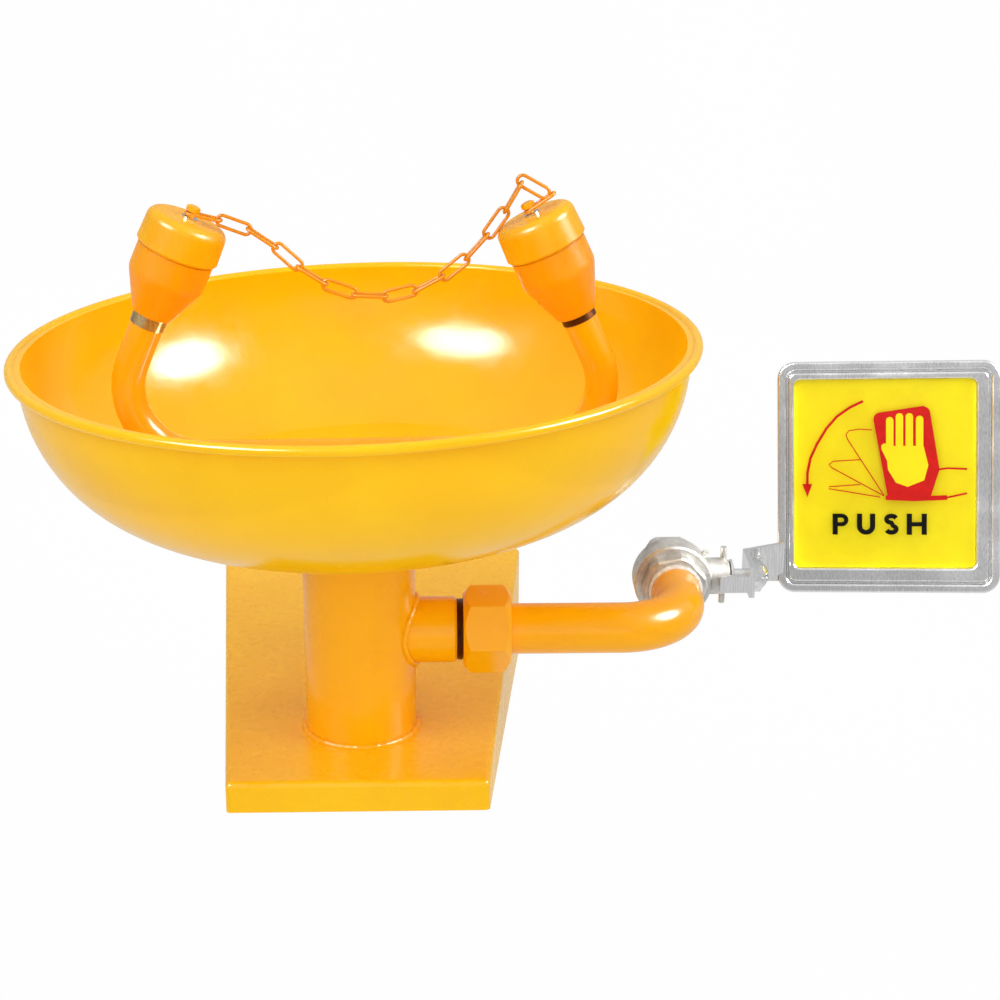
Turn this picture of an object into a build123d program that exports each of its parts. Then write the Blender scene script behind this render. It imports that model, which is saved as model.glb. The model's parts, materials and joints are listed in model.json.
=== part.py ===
"""Wall-mounted eyewash station: bracket, waste stem, bowl, twin spray heads with
chained dust caps, and a push-plate ball valve on the inlet pipe.

Millimetres. The origin is the centre of the four wall holes, on the wall face.
+Z is up, +Y points into the wall and +X runs along the inlet pipe.
"""
from build123d import *
import os
from math import asinh, cos, cosh, radians, sin, sinh, sqrt, tan

# ---------------------------------------------------------------- driving dimensions
wall_to_stem = 214.0          # wall face to the waste stem's axis
deck_z = 32.0                 # bracket's top face above the wall-hole centre

# bracket: one folded sheet, widening and deepening towards the wall
sheet = 3.0
deck_front = 56.0             # stem axis to the front lip
front_half_width = 55.0
rear_half_width = 79.0
front_lip = 13.5
rear_height = 62.0
bracket_fillet = 2.5
wall_hole_radius = 4.5
wall_hole_span_x = 116.0
wall_hole_span_z = 28.0

# waste stem, DN40 tube
stem_radius = 24.15
stem_wall = 3.0
stem_height = 92.0            # above the deck
stem_below_deck = 24.0
drain_bore_radius = 19.5      # G1 1/4 female

# bowl, a dished steel pressing with a rolled bead
bowl_radius = 142.6
bead_radius = 2.1
bowl_body_radius = 137.8
bowl_rim_z = 81.0             # bead centre above the stem top
knuckle_radius = 65.0
crown_radius = 300.0
bowl_sheet = 1.5
bowl_hole_radius = 20.0
bowl_lean = 1.5               # degrees, right-hand rim up
bowl_shift = 3.0              # bowl axis off the stem axis

# waste fitting, clamps the bowl to the stem
waste_bore_radius = 14.5
waste_tail_radius = 17.0
waste_flange_radius = 30.0

# spray manifold, a U of 14 mm tube that carries both heads
tube_radius = 7.0
tube_bore = 5.6
feed_radius = 8.0             # tube that rises through the waste fitting
feed_bore = 6.0
run_z = 33.3                  # centre of the horizontal run above the stem top
riser_bend = 30.0
head_x = 87.9                 # nipple band from the manifold's middle
head_z = 92.9                 # nipple band above the stem top
head_lean = 24.2              # degrees, heads lean towards each other
spray_lean = 0.6              # degrees, right-hand head up
spray_shift = 2.1             # manifold's middle from the bowl's axis

# spray heads, measured along each head's own axis from the bare nipple band
nipple_radius = 7.4
nipple_band = 5.0
screwed_on = 2.0              # the right head covers this much more of its nipple
head_foot_radius = 8.2
head_radius = 16.0
head_neck_radius = 15.4
head_shoulder = 19.0
head_seam = 31.0
head_top = 42.0
cap_radius = 17.2
cap_top = 45.6
cap_gap = 0.3
cap_travel = 12.0

# dust-cap chain
wire = 1.4
link_pitch = 12.6
link_play = 0.3
link_width = 5.9
chain_links = 15
end_link_tilt = 10.0          # degrees, end links stand off the cap tops
second_link_drop = 21.0       # degrees, the next links over the left cap
third_link_drop = 35.0
fold_angle = 30.0             # degrees, the link that folds back over the right cap
screw_radius = 1.15
screw_flats = 5.0

# inlet: socket on the stem, union nut, 1/2 in pipe with one bend
inlet_z = 45.0                # pipe axis above the deck
pipe_radius = 11.0
pipe_bore = 8.4
socket_radius = 14.3
socket_end = 42.0
nut_start = 44.8
nut_end = 65.4
nut_chamfer = 3.6
nut_flats = 33.0
nut_rotation = 7.0
bend_radius = 28.5
valve_x = 142.5

# ball valve, lengths along +Y from the stem axis
valve_mouth = 44.0
ring_front = 50.5
ring_rear = 64.0
valve_rear = 77.0
inlet_thread_depth = 7.0
lever_y = 60.0
ring_radius = 18.0
mouth_flats = 28.0
mouth_radius = 15.0           # hexagon's corners are turned off to this
mouth_rotation = 49.0
tail_flats = 26.0
tail_radius = 13.6
cavity_radius = 11.0
cavity_half = 8.5
port_radius = 5.5
ball_radius = 9.5
running_gap = 0.05            # radial clearance round the valve shaft

# valve neck and lever, lengths along +X from the valve's axis
neck_radius = 8.5
neck_end = 24.5
shaft_radius = 3.2
shaft_end = 41.0
lever_start = 34.8
lever_sheet = 2.5
lever_width = 15.0
lever_front = -11.6
lever_rear = 12.4
tab_length = 16.0
wing_end = 54.0
wing_low = -7.0
wing_high = 12.0
pin_radius = 1.4              # stop pins above and below the neck
pin_low = -15.0
pin_high = 13.0
inlet_thread_radius = 9.3     # G1/2 female
plate_lean = 16.0             # degrees, leans back at rest

# push plate
plate_width = 102.0
plate_height = 108.0
plate_turn = 11.0             # degrees, turned about the vertical
plate_roll = 3.4
plate_depth = 5.0
plate_corner = 8.0
bead_width = 4.2
groove_width = 0.8
tray_sheet = 1.5
plate_x = 243.9
plate_y = 74.0
plate_z = 88.0                # above the deck
panel_width = 83.4
panel_height = 88.0
panel_corner = 3.0
panel_left = 1.6              # panel's centre left of the plate's
panel_up = 1.6

os.makedirs("parts", exist_ok=True)

# ---------------------------------------------------------------- frames
stem_y = -wall_to_stem
deck = Plane((0, stem_y, deck_z))
upper = Plane(
    (bowl_shift, stem_y, deck_z + stem_height),
    x_dir=(cos(radians(bowl_lean)), 0, sin(radians(bowl_lean))),
    z_dir=(-sin(radians(bowl_lean)), 0, cos(radians(bowl_lean))),
)
spray = Plane(
    upper.origin,
    x_dir=(cos(radians(spray_lean)), 0, sin(radians(spray_lean))),
    z_dir=(-sin(radians(spray_lean)), 0, cos(radians(spray_lean))),
)
inlet_height = deck_z + inlet_z
valve_y = stem_y + lever_y
flow = Plane((valve_x, stem_y, inlet_height), x_dir=(1, 0, 0), z_dir=(0, 1, 0))
neck = Plane((valve_x, valve_y, inlet_height), x_dir=(0, 1, 0), z_dir=(1, 0, 0))
branch = Plane((0, stem_y, inlet_height), x_dir=(0, 1, 0), z_dir=(1, 0, 0))


def at_spray(x, z):
    """A point of the leaning spray frame, in the part's frame."""
    return spray.from_local_coords(Vector(x, 0, z))


def spray_direction(x, z):
    return at_spray(x, z) - spray.origin


def section(plane):
    """The plane's own X-Z section, where a turned profile is drawn."""
    return Plane(plane.origin, x_dir=plane.x_dir, z_dir=-plane.y_dir)


def save(body, name):
    body.part.label = name
    export_step(body.part, f"parts/{name}.step")


def turned(plane, *points):
    """A solid of revolution about the plane's Z from a closed (radius, height) outline."""
    with BuildPart() as body:
        with BuildSketch(section(plane)):
            with BuildLine():
                Polyline(*points, close=True)
            make_face()
        revolve(axis=Axis(plane.origin, plane.z_dir))
    return body


def ring(plane, inner, outer, low, high):
    return turned(plane, (inner, low), (outer, low), (outer, high), (inner, high))


# ---------------------------------------------------------------- bracket and stem
def make_wall_bracket():
    lip_y = stem_y - deck_front
    below = deck_z - rear_height
    with BuildPart() as bracket:
        with BuildSketch(Plane.XY.offset(deck_z)):
            with BuildLine():
                Polyline(
                    (-front_half_width, lip_y),
                    (front_half_width, lip_y),
                    (rear_half_width, 0),
                    (-rear_half_width, 0),
                    close=True,
                )
            make_face()
        extrude(amount=-rear_height)
        with BuildSketch(Plane.YZ):
            with BuildLine():
                Polyline(
                    (lip_y, deck_z),
                    (lip_y, deck_z - front_lip),
                    (0, below),
                    (0, deck_z),
                    close=True,
                )
            make_face()
        extrude(amount=2 * rear_half_width, both=True, mode=Mode.INTERSECT)
        folds = bracket.edges().filter_by(Axis.Z) + bracket.faces().sort_by(Axis.Z)[-1].edges()
        wall_edge = folds.group_by(Axis.Y)[-1]
        fillet([edge for edge in folds if edge not in wall_edge], radius=bracket_fillet)
        underside = [face for face in bracket.faces() if face.normal_at().Z < -0.5]
        offset(amount=-sheet, openings=underside)
        with BuildSketch(Plane.XY.offset(deck_z + 1)):
            with Locations((0, stem_y)):
                Circle(stem_radius)
        extrude(amount=-2 * sheet, mode=Mode.SUBTRACT)
        with BuildSketch(Plane.XZ.offset(-1)):
            with GridLocations(wall_hole_span_x, wall_hole_span_z, 2, 2):
                Circle(wall_hole_radius)
        extrude(amount=2 * sheet, mode=Mode.SUBTRACT)
    return bracket


def make_waste_stem():
    with BuildPart() as stem:
        with BuildSketch(deck.offset(-stem_below_deck)):
            Circle(stem_radius)
            Circle(stem_radius - stem_wall, mode=Mode.SUBTRACT)
        extrude(amount=stem_below_deck + stem_height)
        with BuildSketch(Plane((0, stem_y, inlet_height), x_dir=(0, 1, 0), z_dir=(1, 0, 0))):
            Circle(socket_radius)
        extrude(amount=2 * stem_radius, mode=Mode.SUBTRACT)
    return stem


def make_drain_socket():
    low = -stem_below_deck - 2
    return turned(
        deck,
        (drain_bore_radius, low),
        (stem_radius, low),
        (stem_radius, -stem_below_deck),
        (stem_radius - stem_wall, -stem_below_deck),
        (stem_radius - stem_wall, 0),
        (drain_bore_radius, 0),
    )


# ---------------------------------------------------------------- bowl and waste fitting
def knuckle_centre():
    return bowl_body_radius - knuckle_radius, bowl_rim_z - 3


def crown_tangent():
    """Where the bowl's knuckle arc runs into its crown arc, and the crown's centre height."""
    centre_r, centre_z = knuckle_centre()
    reach = crown_radius - knuckle_radius
    crown_z = centre_z + sqrt(reach**2 - centre_r**2)
    stretch = crown_radius / reach
    return centre_r * stretch, crown_z + (centre_z - crown_z) * stretch, crown_z


bowl_floor = crown_tangent()[2] - crown_radius
waste_flange = bowl_floor + bowl_sheet + 3.4


def crown_height(radius, inset=0.0):
    """Height of the bowl floor at a radius, on the face that is inset from the outer one."""
    return crown_tangent()[2] - sqrt((crown_radius - inset)**2 - radius**2)


def make_bowl():
    frame = section(upper)
    centre_r, centre_z = knuckle_centre()
    tangent_r, tangent_z, _ = crown_tangent()
    bead_r = bowl_radius - bead_radius
    with BuildPart() as bowl:
        with BuildSketch(frame):
            with BuildLine():
                crown = RadiusArc(
                    (bowl_hole_radius, crown_height(bowl_hole_radius)),
                    (tangent_r, tangent_z),
                    -crown_radius,
                )
                knuckle = RadiusArc(crown @ 1, (bowl_body_radius, centre_z), -knuckle_radius)
                wall = Line(knuckle @ 1, (bowl_body_radius, bowl_rim_z))
                offset(amount=bowl_sheet, side=Side.LEFT)
            make_face()
            with Locations((bead_r, bowl_rim_z)):
                Circle(bead_radius)
            with Locations((bowl_body_radius - bowl_sheet / 2 + 1.3, bowl_rim_z)):
                Rectangle(bowl_sheet + 2.6, 1.8)
        revolve(axis=Axis(upper.origin, upper.z_dir))
    return bowl


def make_lower_gasket():
    """Wedge-shaped seal between the level stem and the leaning bowl."""
    inner = waste_tail_radius + 0.6
    outer = stem_radius + 1
    with BuildPart() as gasket:
        with BuildSketch(section(upper)):
            with BuildLine():
                Polyline(
                    (inner, -3),
                    (outer, -3),
                    (outer, crown_height(outer) - 0.05),
                    (bowl_hole_radius, crown_height(bowl_hole_radius) - 0.05),
                    (inner, crown_height(bowl_hole_radius) - 0.05),
                    close=True,
                )
            make_face()
        revolve(axis=Axis(upper.origin, upper.z_dir))
        with BuildSketch(deck.offset(stem_height - 10)):
            Circle(2 * stem_radius)
        extrude(amount=10, mode=Mode.SUBTRACT)
    return gasket


def make_upper_gasket():
    inner = bowl_hole_radius + 0.5
    outer = waste_flange_radius - 1
    return turned(
        upper,
        (inner, crown_height(inner, bowl_sheet) + 0.05),
        (outer, crown_height(outer, bowl_sheet) + 0.05),
        (outer, waste_flange),
        (inner, waste_flange),
    )


def make_waste_fitting():
    """Flanged outlet that clamps the bowl floor over the stem."""
    return turned(
        upper,
        (waste_bore_radius, waste_flange - 24),
        (waste_tail_radius, waste_flange - 24),
        (waste_tail_radius, waste_flange),
        (waste_flange_radius, waste_flange),
        (waste_flange_radius, waste_flange + 1.4),
        (waste_flange_radius - 1.1, waste_flange + 2.5),
        (waste_bore_radius, waste_flange + 2.5),
    )


def make_strainer():
    """Perforated disc round the feed tube, resting on the waste fitting."""
    with BuildPart() as strainer:
        with BuildSketch(upper.offset(waste_flange + 2.5)):
            Circle(24)
            Circle(11.8, mode=Mode.SUBTRACT)
            with PolarLocations(15.2, 18):
                Circle(1.6, mode=Mode.SUBTRACT)
            with PolarLocations(19.6, 24):
                Circle(1.6, mode=Mode.SUBTRACT)
        extrude(amount=1.2)
    return strainer


# ---------------------------------------------------------------- spray manifold
def head_plane(side):
    """Frame of one spray head: origin in the bare nipple band, Z out of the head."""
    lean = radians(head_lean)
    return Plane(
        at_spray(spray_shift + side * head_x, head_z),
        x_dir=spray_direction(cos(lean), side * sin(lean)),
        z_dir=spray_direction(-side * sin(lean), cos(lean)),
    )


def make_spray_manifold():
    """U-shaped tube with a socket under its middle for the feed tube."""
    lean = radians(head_lean)
    end_x = head_x + nipple_band / 2 * sin(lean)
    end_z = head_z - nipple_band / 2 * cos(lean)
    corner_x = end_x + (end_z - run_z) * tan(lean)
    with BuildPart() as manifold:
        with BuildLine(section(spray)) as route:
            FilletPolyline(
                (spray_shift - end_x, end_z),
                (spray_shift - corner_x, run_z),
                (spray_shift + corner_x, run_z),
                (spray_shift + end_x, end_z),
                radius=riser_bend,
            )
        mouth = Plane(route.line @ 0, z_dir=route.line % 0)
        with BuildSketch(mouth):
            Circle(tube_radius)
        sweep()
        with BuildSketch(deck.offset(stem_height + run_z - 15)):
            Circle(feed_radius + 2.6)
        extrude(amount=13)
        with BuildSketch(mouth):
            Circle(tube_bore)
        sweep(path=route.line, mode=Mode.SUBTRACT)
        with BuildSketch(deck.offset(stem_height + run_z - 15)):
            Circle(feed_radius)
        extrude(amount=9, mode=Mode.SUBTRACT)
        with BuildSketch(deck.offset(stem_height + run_z - 15)):
            Circle(feed_bore)
        extrude(amount=15, mode=Mode.SUBTRACT)
    return manifold


def head_foot(side):
    """Height of a head's lower end on its own axis."""
    return nipple_band / 2 - (screwed_on if side > 0 else 0)


def make_riser_nipple(side):
    """Bare metal nipple that joins a riser to its head."""
    return ring(head_plane(side), 4.2, nipple_radius, -nipple_band / 2, head_foot(side))


def make_spray_head(side):
    """Hollow aerator body, a cone that opens into a cylinder."""
    foot = head_foot(side)
    with BuildPart() as head:
        with BuildSketch(section(head_plane(side))):
            with BuildLine():
                outside = FilletPolyline(
                    (head_foot_radius + 0.8, foot + 1.2),
                    (head_radius, head_shoulder),
                    (head_radius, head_seam - 0.6),
                    radius=8,
                )
                Polyline(
                    outside @ 1,
                    (head_neck_radius, head_seam - 0.6),
                    (head_neck_radius, head_top),
                    (12.6, head_top),
                    (12.6, head_shoulder + 3),
                    (4.2, foot + 5),
                    (4.2, foot),
                    (head_foot_radius, foot),
                    outside @ 0,
                )
            make_face()
        revolve(axis=Axis(head_plane(side).origin, head_plane(side).z_dir))
    return head


def make_flow_disc(side):
    """Perforated disc that softens the spray."""
    with BuildPart() as disc:
        with BuildSketch(head_plane(side).offset(head_top - 5)):
            Circle(12.6)
            with PolarLocations(4.5, 6):
                Circle(0.9, mode=Mode.SUBTRACT)
            with PolarLocations(8.8, 12):
                Circle(0.9, mode=Mode.SUBTRACT)
        extrude(amount=2)
    return disc


def make_dust_cap(side):
    """Cup-shaped cap over the head, with a hole for the chain screw."""
    inner = head_neck_radius + cap_gap
    with BuildPart() as cap:
        with BuildSketch(section(head_plane(side))):
            with BuildLine():
                Polyline(
                    (inner, head_seam),
                    (cap_radius - 0.7, head_seam),
                    (cap_radius, head_seam + 0.8),
                    (cap_radius - 0.6, cap_top),
                    (screw_radius, cap_top),
                    (screw_radius, head_top + cap_gap),
                    (inner, head_top + cap_gap),
                    close=True,
                )
            make_face()
        out = Axis(head_plane(side).origin, head_plane(side).z_dir)
        revolve(axis=out)
        fillet(cap.faces().sort_by(out)[-1].outer_wire().edges(), radius=4)
    return cap


def make_cap_screw(side):
    """Small hex screw that pins the chain's end link to the cap."""
    top = head_plane(side).offset(cap_top)
    with BuildPart() as screw:
        with BuildSketch(top.offset(-2.8)):
            Circle(screw_radius)
        extrude(amount=6.2)
        with BuildSketch(top.offset(3.3)):
            RegularPolygon(screw_flats / 2, 6, major_radius=False)
        extrude(amount=2.3)
        head_edges = screw.faces().sort_by(Axis(top.origin, top.z_dir))[-1].edges()
        chamfer(head_edges, length=0.5)
    return screw


def make_cap_washer(side):
    return ring(head_plane(side).offset(cap_top), screw_radius, 3.4, 0, 0.9)


# ---------------------------------------------------------------- chain
link_end = (link_width - wire) / 2
link_flank = (link_pitch + link_play + wire) / 2 - link_end


def chain_anchor(side):
    """Axis point of a cap screw at the end link's height, in the spray frame (x, z)."""
    lean = radians(head_lean)
    reach = cap_top + 2.3
    x = spray_shift + side * (head_x - reach * sin(lean))
    return x, head_z + reach * cos(lean)


def step(point, angle, length):
    return point[0] + length * cos(radians(angle)), point[1] + length * sin(radians(angle))


def hanging_points(start, end, count):
    """Equal steps along the catenary of the given number of links between two joints."""
    span = end[0] - start[0]
    rise = end[1] - start[1]
    length = count * link_pitch
    chord = sqrt(length**2 - rise**2)
    low, high = span / 20, span * 20
    for _ in range(60):
        scale = (low + high) / 2
        if 2 * scale * sinh(span / (2 * scale)) > chord:
            low = scale
        else:
            high = scale
    tilt = asinh(rise / (2 * scale * sinh(span / (2 * scale))))
    first = sinh(tilt - span / (2 * scale)) * scale
    base = scale * cosh(asinh(first / scale))
    points = []
    for step in range(count + 1):
        along = first + step * link_pitch
        x = start[0] + scale * (asinh(along / scale) - asinh(first / scale))
        points.append((x, start[1] + sqrt(scale**2 + along**2) - base))
    return points


def chain_joints():
    """Every joint from the left cap screw to the right one, in the spray frame."""
    first = chain_anchor(-1)
    second = step(first, end_link_tilt - head_lean, link_pitch)
    third = step(second, -second_link_drop, link_pitch)
    start = step(third, -third_link_drop, link_pitch)
    rise = head_lean + end_link_tilt
    far = step(chain_anchor(1), rise, 2 * link_flank)
    end = step(far, 180 - fold_angle, link_pitch)
    last = step(far, rise, -link_pitch)
    return [first, second, third] + hanging_points(start, end, chain_links - 5) + [far, last]


def make_chain_link(index):
    """One oval link, its near bend centred on a joint; neighbours stand at right angles."""
    joints = chain_joints()
    (x0, z0), (x1, z1) = joints[index], joints[index + 1]
    along = spray_direction(x1 - x0, z1 - z0).normalized()
    mid = at_spray(x0, z0) + along * link_flank
    face = along.cross(spray.y_dir) if index % 2 == 0 else spray.y_dir
    flank = link_flank
    end_radius = link_end
    with BuildPart() as link:
        with BuildLine(Plane(mid, x_dir=along, z_dir=face)):
            near = Line((-flank, -end_radius), (flank, -end_radius))
            CenterArc((flank, 0), end_radius, -90, 180)
            Line((flank, end_radius), (-flank, end_radius))
            CenterArc((-flank, 0), end_radius, 90, 180)
        with BuildSketch(Plane(near @ 0.5, z_dir=near % 0.5)):
            Circle(wire / 2)
        sweep()
    return link


# ---------------------------------------------------------------- inlet
def make_inlet_socket():
    """Threaded socket welded into the side of the stem."""
    return turned(
        branch,
        (8, 18),
        (socket_radius, 18),
        (socket_radius, socket_end - 1),
        (socket_radius - 1, socket_end),
        (10.8, socket_end),
        (10.8, 30),
        (8, 30),
    )


def make_union_tail():
    """Male nipple between the socket and the union nut."""
    return turned(
        branch,
        (8, 30),
        (10.8, 30),
        (10.8, socket_end),
        (13, socket_end),
        (13, 56.5),
        (8, 56.5),
    )


def make_union_gasket():
    return ring(branch, pipe_bore, 12.6, 56.5, 58.2)


def make_union_nut():
    """Hex nut, one flat turned up towards the front."""
    with BuildPart() as nut:
        with BuildSketch(branch.offset(nut_start)):
            RegularPolygon(nut_flats / 2, 6, major_radius=False, rotation=nut_rotation)
        extrude(amount=nut_end - nut_start)
        with BuildSketch(section(branch)):
            with BuildLine():
                Polyline(
                    (0, nut_start),
                    (nut_flats / 2 - 1, nut_start),
                    (nut_flats / 2 + 3, nut_start + nut_chamfer),
                    (nut_flats / 2 + 3, nut_end - nut_chamfer),
                    (nut_flats / 2 - 1, nut_end),
                    (0, nut_end),
                    close=True,
                )
            make_face()
        revolve(axis=Axis(branch.origin, branch.z_dir), mode=Mode.INTERSECT)
        with BuildSketch(branch.offset(nut_start - 1)):
            Circle(13)
        extrude(amount=61.3 - nut_start, mode=Mode.SUBTRACT)
        with BuildSketch(branch.offset(nut_start)):
            Circle(pipe_radius + 0.3)
        extrude(amount=nut_end, mode=Mode.SUBTRACT)
    return nut


def make_inlet_pipe():
    """Collared pipe with one bend back towards the wall."""
    with BuildPart() as pipe:
        with BuildLine(Plane((0, stem_y, inlet_height))) as route:
            FilletPolyline(
                (58.2, 0),
                (valve_x, 0),
                (valve_x, ring_front - 0.5),
                radius=bend_radius,
            )
        start = Plane(route.line @ 0, z_dir=route.line % 0)
        with BuildSketch(start):
            Circle(pipe_radius)
        sweep()
        with BuildSketch(start):
            Circle(12.8)
        extrude(amount=2.1)
        with BuildSketch(start):
            Circle(pipe_bore)
        sweep(path=route.line, mode=Mode.SUBTRACT)
    return pipe


def make_thread_tape():
    return ring(flow, pipe_radius, 12.4, valve_mouth - 3.2, valve_mouth)


def make_feed_elbow():
    """Tube that turns the supply up inside the waste stem."""
    with BuildPart() as elbow:
        with BuildLine(Plane.XZ.offset(-stem_y)) as route:
            FilletPolyline(
                (30, inlet_height),
                (0, inlet_height),
                (0, deck_z + stem_height - 22),
                radius=14,
            )
        with BuildSketch(Plane(route.line @ 0, z_dir=route.line % 0)):
            Circle(feed_radius)
            Circle(feed_bore, mode=Mode.SUBTRACT)
        sweep()
    return elbow


def make_feed_tube():
    """Straight tube from the elbow up into the manifold's socket."""
    return ring(deck, feed_bore, feed_radius, stem_height - 22, stem_height + run_z - 6)


# ---------------------------------------------------------------- ball valve
def make_valve_body():
    """Cast body: round barrel, hex tail with the supply thread, neck and stop lugs."""
    with BuildPart() as body:
        with BuildSketch(flow.offset(ring_front)):
            Circle(ring_radius)
        extrude(amount=ring_rear - ring_front)
        barrel = body.edges().filter_by(GeomType.CIRCLE)
        fillet(barrel, radius=1.6)
        with BuildSketch(flow.offset(ring_rear - 1)):
            Circle(tail_radius)
        extrude(amount=valve_rear - ring_rear - 6)
        with BuildSketch(flow.offset(valve_rear - 9)):
            RegularPolygon(tail_flats / 2, 6, major_radius=False)
            Circle(mouth_radius - 0.8, mode=Mode.INTERSECT)
        extrude(amount=9)
        with BuildSketch(neck):
            Circle(neck_radius)
        extrude(amount=neck_end)
        with BuildSketch(Plane((valve_x + neck_end - 0.1, valve_y + 3.5, inlet_height + pin_low))):
            Circle(pin_radius)
        extrude(amount=pin_high - pin_low)
        pin_ends = body.faces().sort_by(Axis.Z)
        fillet(pin_ends[0].edges(), radius=0.8)
        with BuildSketch(neck.offset(neck_end)):
            Circle(7.9)
        extrude(amount=3, mode=Mode.SUBTRACT)
        with BuildSketch(Plane((valve_x + 13, valve_y, inlet_height + 8), z_dir=(0.5, -0.2, 0.84))):
            Circle(1.5)
        extrude(amount=5.3)
        with BuildSketch(flow.offset(ring_front)):
            Circle(13)
        extrude(amount=1, mode=Mode.SUBTRACT)
        with BuildSketch(flow.offset(lever_y - cavity_half)):
            Circle(cavity_radius)
        extrude(amount=2 * cavity_half, mode=Mode.SUBTRACT)
        with BuildSketch(flow.offset(lever_y)):
            Circle(port_radius)
        extrude(amount=valve_rear - lever_y, mode=Mode.SUBTRACT)
        with BuildSketch(flow.offset(valve_rear - inlet_thread_depth)):
            Circle(inlet_thread_radius)
        extrude(amount=inlet_thread_depth, mode=Mode.SUBTRACT)
        with BuildSketch(neck):
            Circle(shaft_radius + running_gap)
        extrude(amount=neck_end, mode=Mode.SUBTRACT)
        with BuildSketch(neck):
            Circle(5.4)
        extrude(amount=cavity_radius + 2.15, mode=Mode.SUBTRACT)
        with BuildSketch(neck.offset(neck_end - 9)):
            Circle(5.6)
        extrude(amount=9, mode=Mode.SUBTRACT)
    return body


def make_valve_end():
    """Screwed-in hex end that takes the inlet pipe."""
    with BuildPart() as end:
        with BuildSketch(flow.offset(valve_mouth)):
            RegularPolygon(mouth_flats / 2, 6, major_radius=False, rotation=mouth_rotation)
            Circle(mouth_radius, mode=Mode.INTERSECT)
        extrude(amount=ring_front - valve_mouth)
        chamfer(end.faces().sort_by(Axis.Y)[0].edges(), length=0.8)
        with BuildSketch(flow.offset(ring_front)):
            Circle(13)
        extrude(amount=1)
        with BuildSketch(flow.offset(valve_mouth)):
            Circle(pipe_radius)
        extrude(amount=ring_front - 0.5 - valve_mouth, mode=Mode.SUBTRACT)
        with BuildSketch(flow.offset(valve_mouth)):
            Circle(port_radius)
        extrude(amount=10, mode=Mode.SUBTRACT)
    return end


def make_ball_seat(side):
    """PTFE seat ring on one side of the ball, along the flow axis."""
    facing = Plane(
        (valve_x, valve_y, inlet_height), x_dir=(1, 0, 0), z_dir=(0, side, 0)
    )
    back = cavity_half
    return turned(
        facing,
        (6, back),
        (cavity_radius, back),
        (cavity_radius, 4.5),
        (8.6, 4.5),
        (8, 5.6),
        (6, 7.7),
    )


def make_valve_ball():
    """Ball with a through bore, turned by the slot that faces the shaft."""
    lean = radians(plate_lean)
    bore = Plane((valve_x, valve_y, inlet_height), z_dir=(0, sin(lean), cos(lean)))
    with BuildPart(neck) as ball:
        Sphere(ball_radius)
        with BuildSketch(bore.offset(-ball_radius)):
            Circle(port_radius)
        extrude(amount=2 * ball_radius, mode=Mode.SUBTRACT)
        with BuildSketch(neck.offset(ball_radius - 2.2)):
            Rectangle(2 * ball_radius, 3, rotation=-plate_lean)
        extrude(amount=3, mode=Mode.SUBTRACT)
    return ball


def make_valve_shaft():
    """Shaft with a tang in the ball, a blow-out shoulder and a threaded end."""
    with BuildPart() as shaft:
        with BuildSketch(neck.offset(ball_radius - 2.2)):
            Rectangle(7, 3, rotation=-plate_lean)
        extrude(amount=4.2)
        with BuildSketch(neck.offset(cavity_radius + 0.3)):
            Circle(5.3)
        extrude(amount=1.8)
        with BuildSketch(neck.offset(cavity_radius + 2)):
            Circle(shaft_radius)
        extrude(amount=shaft_end - cavity_radius - 2)
    return shaft


def make_shaft_packing():
    return ring(neck, shaft_radius + running_gap, 5.6, neck_end - 9, neck_end - 4)


def make_gland_nut():
    return turned(
        neck,
        (shaft_radius + running_gap, neck_end - 4),
        (5.6, neck_end - 4),
        (5.6, neck_end),
        (7.4, neck_end),
        (7.4, neck_end + 1.6),
        (6.6, neck_end + 2.4),
        (shaft_radius + running_gap, neck_end + 2.4),
    )


def make_spring_washer():
    return turned(
        neck,
        (shaft_radius, neck_end + 2.6),
        (7.6, neck_end + 2.6),
        (7.6, neck_end + 3.6),
        (5, neck_end + 4.4),
        (shaft_radius, neck_end + 4.4),
    )


def make_lever_nut():
    """Domed cap nut on the shaft's end."""
    start = neck.offset(lever_start + lever_sheet)
    axis = Axis(start.origin, start.z_dir)
    with BuildPart() as nut:
        with BuildSketch(start):
            RegularPolygon(6.6, 6, major_radius=False)
        extrude(amount=4.6)
        with BuildSketch(section(start)):
            with BuildLine():
                Polyline((0, 0), (6.8, 0), (7.7, 0.8), (7.7, 3.8), (6.6, 4.6), (0, 4.6), close=True)
            make_face()
        revolve(axis=axis, mode=Mode.INTERSECT)
        with BuildSketch(section(start)):
            with Locations((0, 1)):
                Circle(7)
            with Locations((2.9, 6)):
                Rectangle(5.8, 6, mode=Mode.INTERSECT)
        revolve(axis=axis)
        with BuildSketch(start):
            Circle(shaft_radius)
        extrude(amount=shaft_end - lever_start - lever_sheet, mode=Mode.SUBTRACT)
    return nut


# ---------------------------------------------------------------- lever and push plate
def plate_plane():
    """Front plane of the push plate: X across it, Y up it, Z towards the user."""
    turn = radians(plate_turn)
    lean = radians(plate_lean)
    roll = radians(plate_roll)
    across = Vector(cos(turn), -sin(turn), 0)
    out = Vector(-sin(turn), -cos(turn), 0) * cos(lean) + Vector(0, 0, sin(lean))
    up = out.cross(across)
    return Plane(
        (plate_x, stem_y + plate_y, deck_z + plate_z),
        x_dir=across * cos(roll) + up * sin(roll),
        z_dir=out,
    )


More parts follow.
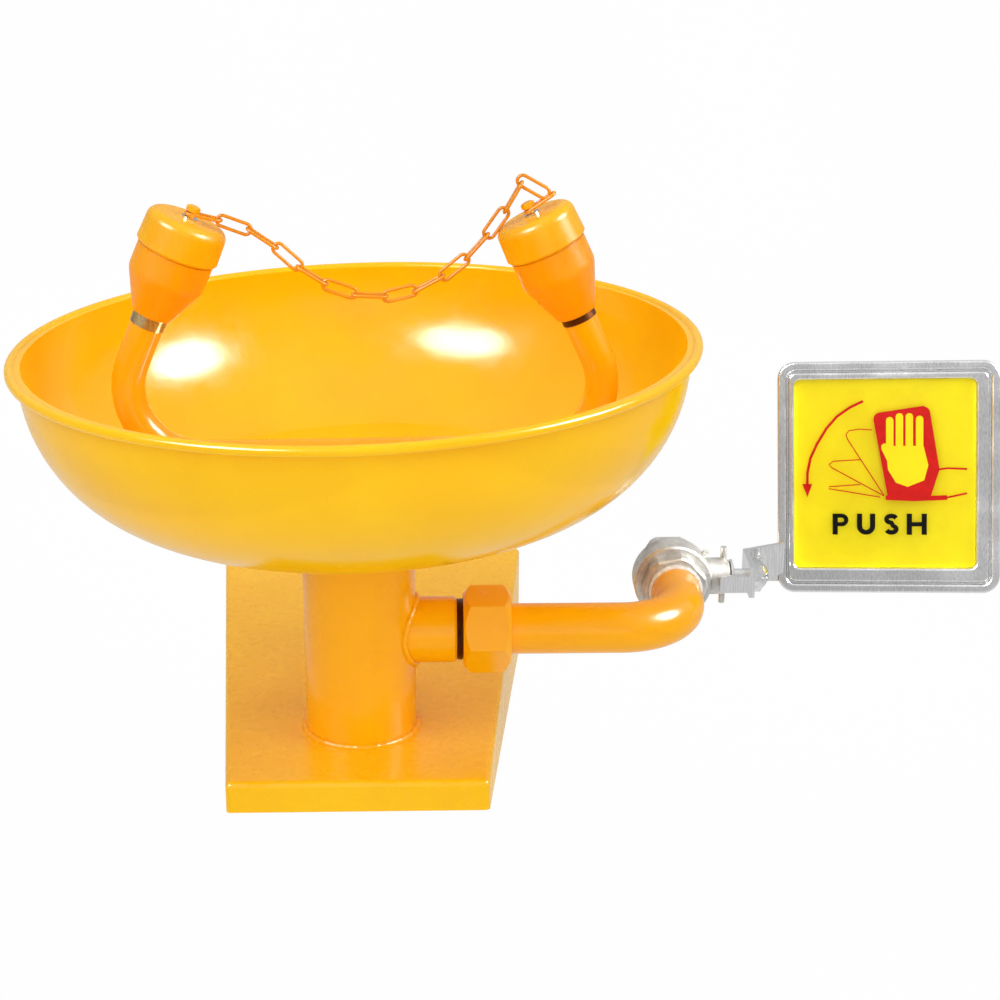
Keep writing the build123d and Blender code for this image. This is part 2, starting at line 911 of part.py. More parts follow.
def make_lever_arm():
    """Bent strip: stop tab in front of the neck, clamped leg, and wing out to the plate."""
    leg = neck.offset(lever_start)
    wing = Plane((valve_x, valve_y + lever_rear, inlet_height), x_dir=(1, 0, 0), z_dir=(0, -1, 0))
    with BuildPart() as arm:
        with BuildSketch(leg):
            with Locations(((lever_front + lever_rear) / 2, 1)):
                Rectangle(lever_rear - lever_front, lever_width)
            Circle(shaft_radius, mode=Mode.SUBTRACT)
        extrude(amount=lever_sheet)
        with BuildSketch(leg.offset(lever_sheet)):
            with Locations((lever_front + lever_sheet / 2, 0)):
                Rectangle(lever_sheet, 8)
        extrude(amount=-tab_length)
        with BuildSketch(wing):
            with BuildLine():
                Polyline(
                    (lever_start, 1 - lever_width / 2),
                    (wing_end, wing_low),
                    (wing_end, wing_high),
                    (lever_start, 1 + lever_width / 2),
                    close=True,
                )
            make_face()
        extrude(amount=lever_sheet)
        with BuildSketch(plate_plane().offset(-plate_depth)):
            RectangleRounded(plate_width, plate_height, plate_corner)
        extrude(amount=plate_depth, mode=Mode.SUBTRACT)
    return arm


def make_push_plate():
    """Stainless tray with a double bead round its edge."""
    face = plate_plane()
    out = Axis(face.origin, face.z_dir)
    groove = bead_width + groove_width
    with BuildPart() as tray:
        with BuildSketch(face.offset(-plate_depth)):
            RectangleRounded(plate_width, plate_height, plate_corner)
        extrude(amount=plate_depth)
        with BuildSketch(face):
            RectangleRounded(plate_width - 2 * bead_width, plate_height - 2 * bead_width, 4)
            RectangleRounded(plate_width - 2 * groove, plate_height - 2 * groove, 3.4, mode=Mode.SUBTRACT)
        extrude(amount=-2, mode=Mode.SUBTRACT)
        with BuildSketch(face):
            with Locations((-panel_left, panel_up)):
                RectangleRounded(panel_width, panel_height, panel_corner)
        extrude(amount=tray_sheet - plate_depth, mode=Mode.SUBTRACT)
        beads = tray.faces().filter_by(out).sort_by(out)[-2:]
        fillet(beads.edges(), radius=1.2)
    return tray


def make_sign_panel():
    with BuildPart() as panel:
        with BuildSketch(plate_plane().offset(tray_sheet - plate_depth)):
            with Locations((-panel_left, panel_up)):
                RectangleRounded(panel_width - 0.2, panel_height - 0.2, panel_corner - 0.1)
        extrude(amount=1)
    return panel


# ---------------------------------------------------------------- write every part
save(make_wall_bracket(), "wall_bracket")
save(make_waste_stem(), "waste_stem")
save(make_drain_socket(), "drain_socket")
save(make_bowl(), "bowl")
save(make_lower_gasket(), "lower_gasket")
save(make_upper_gasket(), "upper_gasket")
save(make_waste_fitting(), "waste_fitting")
save(make_strainer(), "strainer")
save(make_feed_elbow(), "feed_elbow")
save(make_feed_tube(), "feed_tube")
save(make_spray_manifold(), "spray_manifold")
for side, hand in ((-1, "left"), (1, "right")):
    save(make_riser_nipple(side), f"riser_nipple_{hand}")
    save(make_spray_head(side), f"spray_head_{hand}")
    save(make_flow_disc(side), f"flow_disc_{hand}")
    save(make_dust_cap(side), f"dust_cap_{hand}")
    save(make_cap_screw(side), f"cap_screw_{hand}")
    save(make_cap_washer(side), f"cap_washer_{hand}")
for index in range(chain_links):
    save(make_chain_link(index), f"chain_link_{index + 1:02d}")
save(make_inlet_socket(), "inlet_socket")
save(make_union_tail(), "union_tail")
save(make_union_gasket(), "union_gasket")
save(make_union_nut(), "union_nut")
save(make_inlet_pipe(), "inlet_pipe")
save(make_thread_tape(), "thread_tape")
save(make_valve_body(), "valve_body")
save(make_valve_end(), "valve_end")
save(make_ball_seat(-1), "front_seat")
save(make_ball_seat(1), "rear_seat")
save(make_valve_ball(), "valve_ball")
save(make_valve_shaft(), "valve_shaft")
save(make_shaft_packing(), "shaft_packing")
save(make_gland_nut(), "gland_nut")
save(make_spring_washer(), "spring_washer")
save(make_lever_arm(), "lever_arm")
save(make_lever_nut(), "lever_nut")
save(make_push_plate(), "push_plate")
save(make_sign_panel(), "sign_panel")
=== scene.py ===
"""Looks for the wall-mounted eyewash station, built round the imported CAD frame."""
import json
from math import cos, pi, radians, sin, sqrt

import bmesh
import bpy
from mathutils import Matrix, Vector, noise

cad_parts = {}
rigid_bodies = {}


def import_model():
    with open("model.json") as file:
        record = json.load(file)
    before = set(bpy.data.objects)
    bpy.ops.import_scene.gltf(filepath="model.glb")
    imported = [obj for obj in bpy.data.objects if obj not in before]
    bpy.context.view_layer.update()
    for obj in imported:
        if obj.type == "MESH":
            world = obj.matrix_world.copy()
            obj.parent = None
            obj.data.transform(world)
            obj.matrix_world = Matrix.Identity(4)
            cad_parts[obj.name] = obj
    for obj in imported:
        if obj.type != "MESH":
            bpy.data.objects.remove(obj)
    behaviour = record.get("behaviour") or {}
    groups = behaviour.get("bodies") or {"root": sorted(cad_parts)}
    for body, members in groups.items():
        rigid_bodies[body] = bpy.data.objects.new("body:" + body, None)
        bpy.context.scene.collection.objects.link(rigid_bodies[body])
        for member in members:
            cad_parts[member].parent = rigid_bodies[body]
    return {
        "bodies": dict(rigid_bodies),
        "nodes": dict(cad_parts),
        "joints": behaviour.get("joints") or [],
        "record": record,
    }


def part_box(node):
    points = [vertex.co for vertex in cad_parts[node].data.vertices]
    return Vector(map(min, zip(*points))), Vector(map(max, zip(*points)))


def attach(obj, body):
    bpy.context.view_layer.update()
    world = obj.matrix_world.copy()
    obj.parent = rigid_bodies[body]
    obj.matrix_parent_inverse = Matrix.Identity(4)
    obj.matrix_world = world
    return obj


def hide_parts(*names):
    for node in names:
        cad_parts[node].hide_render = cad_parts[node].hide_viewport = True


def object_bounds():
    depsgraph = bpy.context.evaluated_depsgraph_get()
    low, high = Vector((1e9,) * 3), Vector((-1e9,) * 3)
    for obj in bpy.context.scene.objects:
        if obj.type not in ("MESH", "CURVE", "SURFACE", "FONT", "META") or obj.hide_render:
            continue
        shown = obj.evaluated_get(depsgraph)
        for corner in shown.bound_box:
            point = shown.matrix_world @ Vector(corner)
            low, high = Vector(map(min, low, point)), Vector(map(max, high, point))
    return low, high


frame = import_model()
cad_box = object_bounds()
nodes = frame["nodes"]
joints = {joint["name"]: joint for joint in frame["joints"]}

# ---------------------------------------------------------------- places taken from the frame
stem_low, stem_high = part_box("waste_stem")
stem = Vector(((stem_low.x + stem_high.x) / 2, (stem_low.y + stem_high.y) / 2, 0))
stem_r = (stem_high.x - stem_low.x) / 2
deck_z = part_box("wall_bracket")[1].z
valve = Vector(joints["push_plate_swing"]["pos_m"])


# ---------------------------------------------------------------- camera
camera_place = (0.0301, -1.0367, 0.4302)
camera_lens = 73.95
yaw = radians(2.1187)
pitch = radians(19.6386)
roll = radians(0.3466)


def place_camera():
    right = Vector((cos(yaw), -sin(yaw), 0))
    ahead = Vector((sin(yaw) * cos(pitch), cos(yaw) * cos(pitch), -sin(pitch)))
    up = right.cross(ahead)
    across = right * cos(roll) + up * sin(roll)
    above = up * cos(roll) - right * sin(roll)
    data = bpy.data.cameras.new("camera")
    data.lens = camera_lens
    data.sensor_width = 36
    camera = bpy.data.objects.new("camera", data)
    bpy.context.scene.collection.objects.link(camera)
    turn = Matrix((across, above, -ahead)).transposed().to_4x4()
    camera.matrix_world = Matrix.Translation(camera_place) @ turn
    bpy.context.scene.camera = camera


place_camera()


# ---------------------------------------------------------------- materials
def linear(r, g, b):
    def one(c):
        c /= 255
        return c / 12.92 if c <= 0.04045 else ((c + 0.055) / 1.055) ** 2.4
    return one(r), one(g), one(b), 1.0


class Nodes:
    """A material's node tree with short calls for the nodes used here."""

    def __init__(self, name):
        self.material = bpy.data.materials.new(name)
        self.material.use_nodes = True
        self.tree = self.material.node_tree
        self.tree.nodes.clear()
        self.output = self.add("ShaderNodeOutputMaterial")
        self.bsdf = self.add("ShaderNodeBsdfPrincipled")
        self.join(self.bsdf.outputs[0], self.output.inputs[0])
        self.coords = self.add("ShaderNodeTexCoord").outputs["Object"]

    def add(self, kind, **settings):
        node = self.tree.nodes.new(kind)
        for key, value in settings.items():
            setattr(node, key, value)
        return node

    def join(self, a, b):
        self.tree.links.new(a, b)

    def stretched(self, scale, turn=(0, 0, 0)):
        mapping = self.add("ShaderNodeMapping")
        mapping.inputs["Scale"].default_value = scale
        mapping.inputs["Rotation"].default_value = turn
        self.join(self.coords, mapping.inputs[0])
        return mapping.outputs[0]

    def noise(self, scale, detail=2.0, rough=0.5, where=None, distortion=0.0):
        node = self.add("ShaderNodeTexNoise")
        node.inputs["Scale"].default_value = scale
        node.inputs["Detail"].default_value = detail
        node.inputs["Roughness"].default_value = rough
        node.inputs["Distortion"].default_value = distortion
        self.join(where or self.coords, node.inputs["Vector"])
        return node.outputs["Fac"]

    def span(self, value, low, high, start=0.35, end=0.65):
        node = self.add("ShaderNodeMapRange")
        node.inputs["From Min"].default_value = start
        node.inputs["From Max"].default_value = end
        node.inputs["To Min"].default_value = low
        node.inputs["To Max"].default_value = high
        self.join(value, node.inputs["Value"])
        return node.outputs[0]

    def mix(self, factor, a, b):
        node = self.add("ShaderNodeMix", data_type="RGBA")
        for socket, value in ((node.inputs["A"], a), (node.inputs["B"], b)):
            if isinstance(value, tuple):
                socket.default_value = value
            else:
                self.join(value, socket)
        self.join(factor, node.inputs["Factor"])
        return node.outputs["Result"]

    def bump(self, height, strength, distance, after=None):
        node = self.add("ShaderNodeBump")
        node.inputs["Strength"].default_value = strength
        node.inputs["Distance"].default_value = distance
        self.join(height, node.inputs["Height"])
        if after:
            self.join(after, node.inputs["Normal"])
        return node.outputs[0]

    def finish(self, colour, rough, normal=None, metal=0.0, coat=0.0, coat_rough=0.1, specular=0.5):
        self.join(colour, self.bsdf.inputs["Base Color"])
        self.join(rough, self.bsdf.inputs["Roughness"])
        if normal:
            self.join(normal, self.bsdf.inputs["Normal"])
        self.bsdf.inputs["Metallic"].default_value = metal
        self.bsdf.inputs["Coat Weight"].default_value = coat
        self.bsdf.inputs["Coat Roughness"].default_value = coat_rough
        self.bsdf.inputs["Specular IOR Level"].default_value = specular
        return self.material


def powder_coat(name, main, deep, rough=0.2):
    """Glossy powder coat: faint cloudiness, fine orange peel and tiny darker specks."""
    n = Nodes(name)
    cloud = n.span(n.noise(22, 3, 0.6), 0, 1)
    colour = n.mix(cloud, linear(*main), linear(*deep))
    speck = n.span(n.noise(1500, 1), 0, 0.16, 0.66, 0.8)
    colour = n.mix(speck, colour, linear(150, 95, 0))
    peel = n.bump(n.noise(420, 2, 0.45), 0.10, 0.0004)
    wave = n.bump(n.noise(60, 1, 0.4), 0.05, 0.002, peel)
    roughness = n.span(n.noise(90, 3, 0.6), rough - 0.04, rough + 0.06)
    return n.finish(colour, roughness, wave, coat=0.06, coat_rough=0.1, specular=0.26)


def moulded(name, main, deep, rough=0.28):
    """Injection-moulded plastic with slight flow clouding and fine scuffs."""
    n = Nodes(name)
    cloud = n.span(n.noise(35, 2, 0.5), 0, 1)
    colour = n.mix(cloud, linear(*main), linear(*deep))
    scuff = n.noise(300, 3, 0.7, n.stretched((1, 1, 0.15)))
    roughness = n.span(scuff, rough - 0.05, rough + 0.1)
    normal = n.bump(n.noise(700, 2), 0.06, 0.0003)
    return n.finish(colour, roughness, normal, coat=0.04, coat_rough=0.15, specular=0.24)


def brushed(name, light, dark, rough=0.24, turn=(0, 0, 0), grain=(1, 1, 0.03)):
    """Sheet stainless with a fine directional grain."""
    n = Nodes(name)
    lines = n.noise(1800, 3, 0.65, n.stretched(grain, turn))
    colour = n.mix(n.span(lines, 0, 1, 0.3, 0.7), linear(*light), linear(*dark))
    smear = n.noise(40, 3, 0.6)
    colour = n.mix(n.span(smear, 0, 0.25), colour, linear(*dark))
    roughness = n.span(smear, rough - 0.06, rough + 0.08)
    normal = n.bump(lines, 0.08, 0.0002)
    return n.finish(colour, roughness, normal, metal=1.0)


def cast(name, light, dark, rough=0.4):
    """Blasted investment casting, grey and slightly pitted."""
    n = Nodes(name)
    cloud = n.span(n.noise(120, 4, 0.65), 0, 1)
    colour = n.mix(cloud, linear(*light), linear(*dark))
    grit = n.noise(2400, 3, 0.7)
    colour = n.mix(n.span(grit, 0, 0.35, 0.5, 0.75), colour, linear(70, 68, 64))
    roughness = n.span(grit, rough - 0.06, rough + 0.12)
    coarse = n.bump(n.noise(500, 3), 0.15, 0.0004)
    normal = n.bump(grit, 0.25, 0.0002, coarse)
    return n.finish(colour, roughness, normal, metal=1.0)


def bright(name, light, dark, rough=0.08):
    n = Nodes(name)
    haze = n.noise(260, 3, 0.6)
    colour = n.mix(n.span(haze, 0, 1), linear(*light), linear(*dark))
    normal = n.bump(n.noise(900, 2), 0.03, 0.0002)
    return n.finish(colour, n.span(haze, rough, rough + 0.08), normal, metal=1.0)


def plain(name, light, dark, rough, scale=300, bump=0.2, depth=0.0003, specular=0.3):
    n = Nodes(name)
    grain = n.noise(scale, 4, 0.6)
    colour = n.mix(n.span(grain, 0, 1), linear(*light), linear(*dark))
    normal = n.bump(grain, bump, depth)
    roughness = n.span(n.noise(scale / 3, 2), rough - 0.06, rough + 0.06)
    return n.finish(colour, roughness, normal, specular=specular)


paint_bowl = powder_coat("bowl_powder_coat", (255, 196, 0), (252, 190, 0), 0.2)
paint_bracket = powder_coat("bracket_powder_coat", (254, 195, 0), (250, 188, 0), 0.27)
# Same yellow powder coat as the bowl and bracket, made more orange as painted shade from under the bowl;
# also worn by the sockets and the welds.
stem_coat_painted_shade = powder_coat("stem_powder_coat_painted_shade", (254, 178, 0), (250, 171, 0), 0.24)
paint_pipe = powder_coat("pipe_powder_coat", (254, 178, 0), (251, 172, 0), 0.22)
plastic_head = moulded("head_plastic", (250, 165, 0), (246, 157, 0))
plastic_cap = moulded("cap_plastic", (249, 181, 0), (245, 173, 0))
plastic_chain = moulded("chain_plastic", (236, 152, 0), (222, 138, 0), 0.32)
steel_sheet = brushed("sheet_stainless", (244, 244, 244), (214, 214, 214), 0.2, grain=(1, 1, 0.05))
steel_cast = cast("cast_stainless", (224, 222, 217), (186, 183, 177))
metal_bright = bright("bright_metal", (232, 232, 232), (205, 205, 206))
metal_brass = brushed("brass", (206, 184, 140), (158, 128, 76), 0.28)
# Dark red-brown standing in for shade: painted shade on the orange-painted union thread, also used on
# the right riser nipple.
dark_thread_painted_shade = brushed("thread_dark_painted_shade", (112, 66, 34), (58, 30, 16), 0.35)
tape_white = plain("ptfe_tape", (247, 246, 244), (226, 224, 220), 0.45, 500, 0.5, 0.0006)
rubber_black = plain("gasket_rubber", (34, 34, 34), (20, 20, 20), 0.7)
disc_grey = plain("disc_plastic", (215, 215, 212), (200, 200, 198), 0.5)
sign_yellow = plain("sign_lemon", (247, 229, 0), (241, 221, 0), 0.34, 60, 0.03, specular=0.12)
ink_red = plain("sign_red", (214, 16, 4), (200, 10, 2), 0.4, 200, 0.05, specular=0.1)
ink_black = plain("sign_black", (14, 14, 12), (8, 8, 8), 0.4, 200, 0.05, specular=0.1)


def wear(material, *names):
    for name in names:
        slots = nodes[name].data.materials
        slots.clear()
        slots.append(material)


links = [name for name in nodes if name.startswith("chain_link")]
wear(paint_bowl, "bowl")
wear(paint_bracket, "wall_bracket")
wear(stem_coat_painted_shade, "waste_stem", "drain_socket", "inlet_socket")
wear(paint_pipe, "spray_manifold", "union_nut", "inlet_pipe")
wear(plastic_head, "spray_head_left", "spray_head_right")
wear(plastic_cap, "dust_cap_left", "dust_cap_right")
wear(plastic_chain, *links)
wear(steel_cast, "valve_body", "valve_end", "gland_nut")
wear(steel_sheet, "lever_arm", "push_plate", "waste_fitting", "strainer", "spring_washer", "valve_shaft")
wear(metal_bright, "lever_nut", "valve_ball")
wear(paint_pipe, "cap_screw_left", "cap_screw_right")
wear(metal_bright, "cap_washer_left", "cap_washer_right")
wear(metal_brass, "riser_nipple_left", "feed_tube", "feed_elbow")
wear(dark_thread_painted_shade, "union_tail", "riser_nipple_right")
wear(tape_white, "thread_tape", "front_seat", "rear_seat", "shaft_packing")
wear(disc_grey, "flow_disc_left", "flow_disc_right")
wear(rubber_black, "lower_gasket", "upper_gasket", "union_gasket")
wear(sign_yellow, "sign_panel")


# ---------------------------------------------------------------- pieces on the CAD
def add_piece(name, bm, material, body, smooth=True):
    mesh = bpy.data.meshes.new(name)
    bmesh.ops.recalc_face_normals(bm, faces=bm.faces)
    bm.to_mesh(mesh)
    bm.free()
    if smooth:
        mesh.shade_smooth()
    mesh.materials.append(material)
    piece = bpy.data.objects.new(name, mesh)
    bpy.context.scene.collection.objects.link(piece)
    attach(piece, body)
    return piece


def tube_along(bm, points, radius, sides=10, closed=False, ripple=0.0):
    """A bead swept along points, its radius rippled a little like weld or thread."""
    count = len(points)
    rings = []
    for i, point in enumerate(points):
        before = points[(i - 1) % count] if closed or i else point
        after = points[(i + 1) % count] if closed or i < count - 1 else point
        along = (after - before).normalized()
        side = along.orthogonal() if not rings else side - along * side.dot(along)
        side.normalize()
        other = along.cross(side)
        r = radius * (1 + ripple * noise.noise(point * 320)) * (1 + ripple * 0.5 * sin(i * 1.7))
        rings.append([bm.verts.new(point + (side * cos(a) + other * sin(a)) * r)
                      for a in (2 * pi * k / sides for k in range(sides))])
    pairs = list(zip(rings, rings[1:]))
    if closed:
        first = min(range(sides), key=lambda k: (rings[0][k].co - rings[-1][0].co).length)
        pairs.append((rings[-1], rings[0][first:] + rings[0][:first]))
    for a, b in pairs:
        for k in range(sides):
            bm.faces.new((a[k], a[(k + 1) % sides], b[(k + 1) % sides], b[k]))
    if not closed:
        bm.faces.new(rings[0])
        bm.faces.new(rings[-1])


weld_stand_off = 0.0004
foot_bead = 0.0016
socket_bead = 0.0014


def make_welds():
    """Beads at the stem's foot and where the socket meets the stem."""
    foot = bmesh.new()
    ring_r = stem_r + weld_stand_off
    turns = [2 * pi * k / 150 for k in range(150)]
    ring = [
        Vector((stem.x + ring_r * cos(a), stem.y + ring_r * sin(a), deck_z + weld_stand_off))
        for a in turns
    ]
    tube_along(foot, ring, foot_bead, closed=True, ripple=0.25)
    add_piece("stem_foot_weld", foot, stem_coat_painted_shade, "station")

    low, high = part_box("inlet_socket")
    socket_r = (high.z - low.z) / 2
    height = (high.z + low.z) / 2
    saddle = bmesh.new()
    points = []
    for k in range(110):
        a = 2 * pi * k / 110
        y = (socket_r + weld_stand_off) * cos(a)
        points.append(Vector((stem.x + sqrt(stem_r ** 2 - y * y) + 0.0003, stem.y + y,
                              height + (socket_r + weld_stand_off) * sin(a))))
    tube_along(saddle, points, socket_bead, closed=True, ripple=0.25)
    add_piece("socket_weld", saddle, stem_coat_painted_shade, "station")


def make_thread_ridges():
    """Visible turns of the union thread between the socket and the nut."""
    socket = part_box("inlet_socket")
    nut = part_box("union_nut")
    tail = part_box("union_tail")
    radius = (tail[1].z - tail[0].z) / 2
    height = (tail[1].z + tail[0].z) / 2
    bm = bmesh.new()
    points = []
    turns, start, end = 2.2, socket[1].x, nut[0].x
    for k in range(150):
        a = 2 * pi * turns * k / 149
        x = start + (end - start) * (0.12 + 0.76 * k / 149)
        points.append(Vector((x, stem.y + radius * cos(a), height + radius * sin(a))))
    tube_along(bm, points, 0.00042, sides=8)
    add_piece("union_thread", bm, dark_thread_painted_shade, "station")


def make_tape():
    """Wrinkled thread-seal tape wound on the pipe in front of the valve."""
    low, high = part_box("thread_tape")
    centre_x, centre_z = (low.x + high.x) / 2, (low.z + high.z) / 2
    outer = (high.z - low.z) / 2
    inner = outer - 0.0014
    bm = bmesh.new()
    rows = []
    steps, across = 140, 9
    for k in range(steps):
        a = 2 * pi * k / steps
        row = []
        for j in range(across):
            t = j / (across - 1)
            y = low.y + (high.y - low.y) * t
            p = Vector((cos(a) * 3, sin(a) * 3, t * 5))
            r = outer - 0.0008 * abs(noise.noise(p * 2.3)) - 0.0009 * (2 * t - 1) ** 4
            row.append(bm.verts.new((centre_x + r * cos(a), y, centre_z + r * sin(a))))
        for y in (high.y, low.y):
            row.append(bm.verts.new((centre_x + inner * cos(a), y, centre_z + inner * sin(a))))
        rows.append(row)
    for k in range(steps):
        a, b = rows[k], rows[(k + 1) % steps]
        for j in range(across + 2):
            bm.faces.new((a[j], a[(j + 1) % (across + 2)], b[(j + 1) % (across + 2)], b[j]))
    tape = add_piece("wound_tape", bm, tape_white, "station")
    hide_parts("thread_tape")


# ---------------------------------------------------------------- sign
def panel_frame():
    """Centre of the sign's front face with its across, up and outward directions."""
    panel = nodes["sign_panel"]
    mesh, place = panel.data, panel.matrix_world
    faces = [(place.to_3x3() @ face.normal, face.area, place @ face.center) for face in mesh.polygons]
    out = max((f for f in faces if f[0].y < -0.5), key=lambda f: f[1])[0].normalized()
    corners = [place @ v.co for v in mesh.vertices]
    across = None
    for edge in mesh.edges:
        a, b = (place @ mesh.vertices[k].co for k in edge.vertices)
        run = b - a
        if run.length > 0.06 and abs(run.normalized().z) < 0.3:
            across = run.normalized()
            break
    if across.x < 0:
        across = -across
    up = out.cross(across)
    spans = [(min(c.dot(d) for c in corners), max(c.dot(d) for c in corners)) for d in (across, up, out)]
    centre = across * sum(spans[0]) / 2 + up * sum(spans[1]) / 2 + out * spans[2][1]
    return centre, across, up, out


def print_shape(bm, outline, frame, lift):
    """A thin raised print from an outline in millimetres on the sign."""
    centre, across, up, out = frame
    low, high = [], []
    for x, y in outline:
        at = centre + across * x / 1000 + up * y / 1000
        low.append(bm.verts.new(at - out * 0.00005))
        high.append(bm.verts.new(at + out * lift))
    count = len(outline)
    for k in range(count):
        bm.faces.new((low[k], low[(k + 1) % count], high[(k + 1) % count], high[k]))
    bm.faces.new(high)
    bm.faces.new(low[::-1])


def stroke(points, width):
    """Outline of an open line drawn with a flat pen."""
    left, right = [], []
    for k, (x, y) in enumerate(points):
        x0, y0 = points[max(k - 1, 0)]
        x1, y1 = points[min(k + 1, len(points) - 1)]
        length = sqrt((x1 - x0) ** 2 + (y1 - y0) ** 2)
        nx, ny = -(y1 - y0) / length * width / 2, (x1 - x0) / length * width / 2
        left.append((x + nx, y + ny))
        right.append((x - nx, y - ny))
    return left + right[::-1]


def arc(cx, cy, rx, ry, start, end, steps=14):
    angles = [radians(start + (end - start) * k / steps) for k in range(steps + 1)]
    return [(cx + rx * cos(a), cy + ry * sin(a)) for a in angles]


def bar(x0, y0, x1, y1):
    return [(x0, y0), (x1, y0), (x1, y1), (x0, y1)]


def sign_letters():
    """The word PUSH, from plain bars and arcs."""
    low, high, pen = -28.3, -18.5, 2.4
    shapes = [bar(-25.4, low, -25.4 + pen, high)]
    shapes.append([(-23, high), (-21.2, high)] + arc(-21.2, high - 2.95, 3.1, 2.95, 90, -90)
                  + [(-23, high - 5.9), (-23, high - 4)] + arc(-21.2, high - 2.95, 1.1, 1.05, -90, 90)
                  + [(-23, high - 1.9)])
    shapes.append([(-14.2, high), (-14.2, low + 3.9)] + arc(-10, low + 3.9, 4.2, 3.9, 180, 360)
                  + [(-5.8, high), (-8.2, high), (-8.2, low + 3.9)]
                  + arc(-10, low + 3.9, 1.8, 1.7, 360, 180) + [(-11.8, high)])
    middle = (low + high) / 2
    upper = arc(1.6, middle + 2.3, 2.3, 1.55, 20, 270, 12)
    lower = arc(1.6, middle - 2.3, 2.3, 1.55, 90, -160, 12)
    shapes.append(stroke(upper + lower[1:], 2.1))
    shapes += [bar(8.6, low, 8.6 + pen, high), bar(17.8 - pen, low, 17.8, high),
               bar(8.6 + pen, middle - 1, 17.8 - pen, middle + 1)]
    return shapes


line_ink = 0.00012


def make_sign():
    """Red line drawing, black word and a yellow hand over the red leaf."""
    frame_at = panel_frame()
    red = bmesh.new()
    curve = [
        (-11.4, 33.9), (-17.5, 31), (-23.4, 26.8), (-28.2, 21.3),
        (-32.6, 14), (-35.6, 7.5), (-37, 0.5), (-37.1, -5.4),
    ]
    print_shape(red, stroke(curve, 1.2), frame_at, line_ink)
    print_shape(red, [(-37, -10.8), (-39.4, -4.6), (-34.8, -4.6)], frame_at, line_ink)
    for fan in (
        [(-7.4, 20.5), (-13, 20.9), (-17.8, 20.2), (-19.2, 18.5), (-18.6, 16.4), (-1.8, -10)],
        [(-12.2, 6.7), (-25, 6), (-27, 4.5), (-25.8, 3), (-1.8, -10.2)],
        [(-12.6, -4.9), (-27, -5.9), (-27.2, -6.8), (-3.4, -10.8)],
    ):
        print_shape(red, stroke(fan, 0.5), frame_at, 0.0001)
    for line in ([(19.5, 1.5), (27, 2.6), (36, 2.2)], [(27, -11), (36, -9)]):
        print_shape(red, stroke(line, 0.9), frame_at, line_ink)
    print_shape(red, stroke([(-1, -11), (12, -11.6), (27, -11)], 2.2), frame_at, line_ink)
    black = bmesh.new()
    for letter in sign_letters():
        print_shape(black, letter, frame_at, line_ink)
    add_piece("sign_black_print", black, ink_black, "push_lever", smooth=False)

    leaf = [(0, -11), (-6.6, 25)] + arc(-3.4, 25.6, 3.2, 3, 180, 95, 6) + [(16, 31.5)]
    leaf += arc(16, 28, 3.2, 3.3, 80, 5, 6) + [(23.5, 2), (19.5, -10.6)]
    print_shape(red, leaf, frame_at, 0.00014)
    add_piece("sign_red_print", red, ink_red, "push_lever", smooth=False)

    hand = bmesh.new()
    tips = [(0.8, 26.5), (5.2, 28.2), (9.7, 28.2), (14.4, 27)]
    for x, y in tips:
        finger = [(x - 1.7, 10)] + arc(x, y - 1.7, 1.7, 1.7, 180, 0, 8) + [(x + 1.7, 10)]
        print_shape(hand, finger, frame_at, 0.0002)
    palm = [(-1, 13), (16.2, 13), (18.4, 4), (16.5, -3), (9, -6), (3.6, -4), (0, 2)]
    print_shape(hand, palm, frame_at, 0.00019)
    thumb = [(2.6, 0), (-3, 11.5)] + arc(-1.4, 12.6, 1.7, 1.6, 170, 20, 6) + [(4, 7)]
    print_shape(hand, thumb, frame_at, 0.00018)
    add_piece("sign_hand_print", hand, sign_yellow, "push_lever", smooth=False)


make_welds()
make_thread_ridges()
make_tape()
make_sign()


# ---------------------------------------------------------------- studio
def make_stage():
    mesh = bpy.data.meshes.new("backdrop")
    bm = bmesh.new()
    floor_z = cad_box[0][2] - 0.09
    profile = [(-3.2, floor_z), (0.9, floor_z)]
    for step in range(1, 13):
        angle = radians(90 * step / 12)
        profile.append((0.9 + 0.7 * sin(angle), floor_z + 0.7 - 0.7 * cos(angle)))
    profile.append((1.6, floor_z + 3))
    rows = [[bm.verts.new((x, y, z)) for x in (-3, 3)] for y, z in profile]
    for a, b in zip(rows, rows[1:]):
        bm.faces.new((a[0], a[1], b[1], b[0]))
    bm.to_mesh(mesh)
    bm.free()
    mesh.shade_smooth()
    backdrop = bpy.data.objects.new("backdrop", mesh)
    bpy.context.scene.collection.objects.link(backdrop)
    n = Nodes("backdrop")
    shade = n.mix(n.noise(2, 1), (1.0, 1.0, 1.0, 1.0), (0.985, 0.985, 0.985, 1.0))
    glow = n.add("ShaderNodeEmission")
    n.join(shade, glow.inputs["Color"])
    n.join(glow.outputs[0], n.output.inputs[0])
    n.tree.nodes.remove(n.bsdf)
    mesh.materials.append(n.material)
    backdrop.visible_diffuse = False
    backdrop.visible_glossy = False
    backdrop.visible_shadow = False


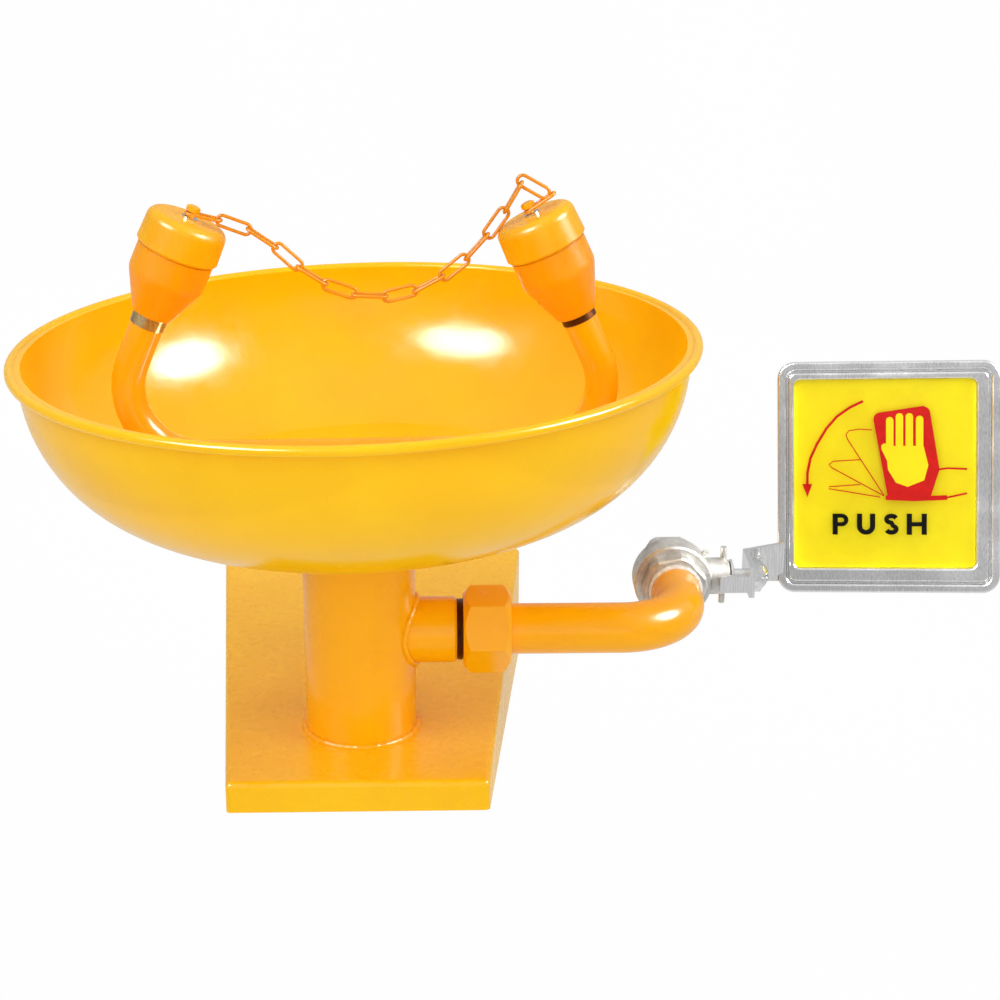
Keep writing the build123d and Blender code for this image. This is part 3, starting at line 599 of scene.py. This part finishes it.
def soft_light(name, place, target, width, height, power, glossy):
    """An elliptical area light that makes either a highlight or plain fill."""
    data = bpy.data.lights.new(name, "AREA")
    data.shape = "ELLIPSE"
    data.size = width
    data.size_y = height
    data.energy = power
    light = bpy.data.objects.new(name, data)
    bpy.context.scene.collection.objects.link(light)
    light.location = place
    aim = Vector(target) - Vector(place)
    light.rotation_euler = aim.to_track_quat("-Z", "Y").to_euler()
    light.visible_glossy = glossy
    light.visible_diffuse = not glossy


def make_world():
    """Soft surroundings: pale overhead, grey at eye level, dim below."""
    world = bpy.data.worlds.new("studio")
    world.use_nodes = True
    tree = world.node_tree
    coords = tree.nodes.new("ShaderNodeTexCoord")
    split = tree.nodes.new("ShaderNodeSeparateXYZ")
    ramp = tree.nodes.new("ShaderNodeValToRGB")
    height = tree.nodes.new("ShaderNodeMapRange")
    height.inputs["From Min"].default_value = -1
    tree.links.new(coords.outputs["Generated"], split.inputs[0])
    tree.links.new(split.outputs["Z"], height.inputs["Value"])
    tree.links.new(height.outputs[0], ramp.inputs[0])
    ramp.color_ramp.elements[0].color = (0.88, 0.88, 0.88, 1)
    ramp.color_ramp.elements[1].color = (0.9, 0.9, 0.9, 1)
    for place, grey in ((0.42, 0.62), (0.55, 0.42), (0.72, 0.62)):
        ramp.color_ramp.elements.new(place).color = (grey, grey, grey, 1)
    tree.links.new(ramp.outputs[0], tree.nodes["Background"].inputs[0])
    bpy.context.scene.world = world
    bpy.context.scene.view_settings.view_transform = "Standard"


def make_lights():
    basin = (0, stem.y, 0.16)
    soft_light("glint_right", (1.52, -0.51, 1.17), basin, 0.95, 0.85, 110, True)
    soft_light("glint_left", (-1.10, -1.25, 1.33), basin, 1.05, 0.85, 110, True)
    soft_light("fill_right", (1.52, -0.51, 1.17), basin, 1.2, 1.2, 15, False)
    soft_light("fill_left", (-1.10, -1.25, 1.33), basin, 1.2, 1.2, 15, False)
    soft_light("fill_front", (0.1, -2.4, 0.5), basin, 1.6, 1.2, 13, False)
    soft_light("fill_top", (0, -0.4, 2.2), basin, 1.6, 1.6, 6, False)
    make_world()


make_stage()
make_lights()
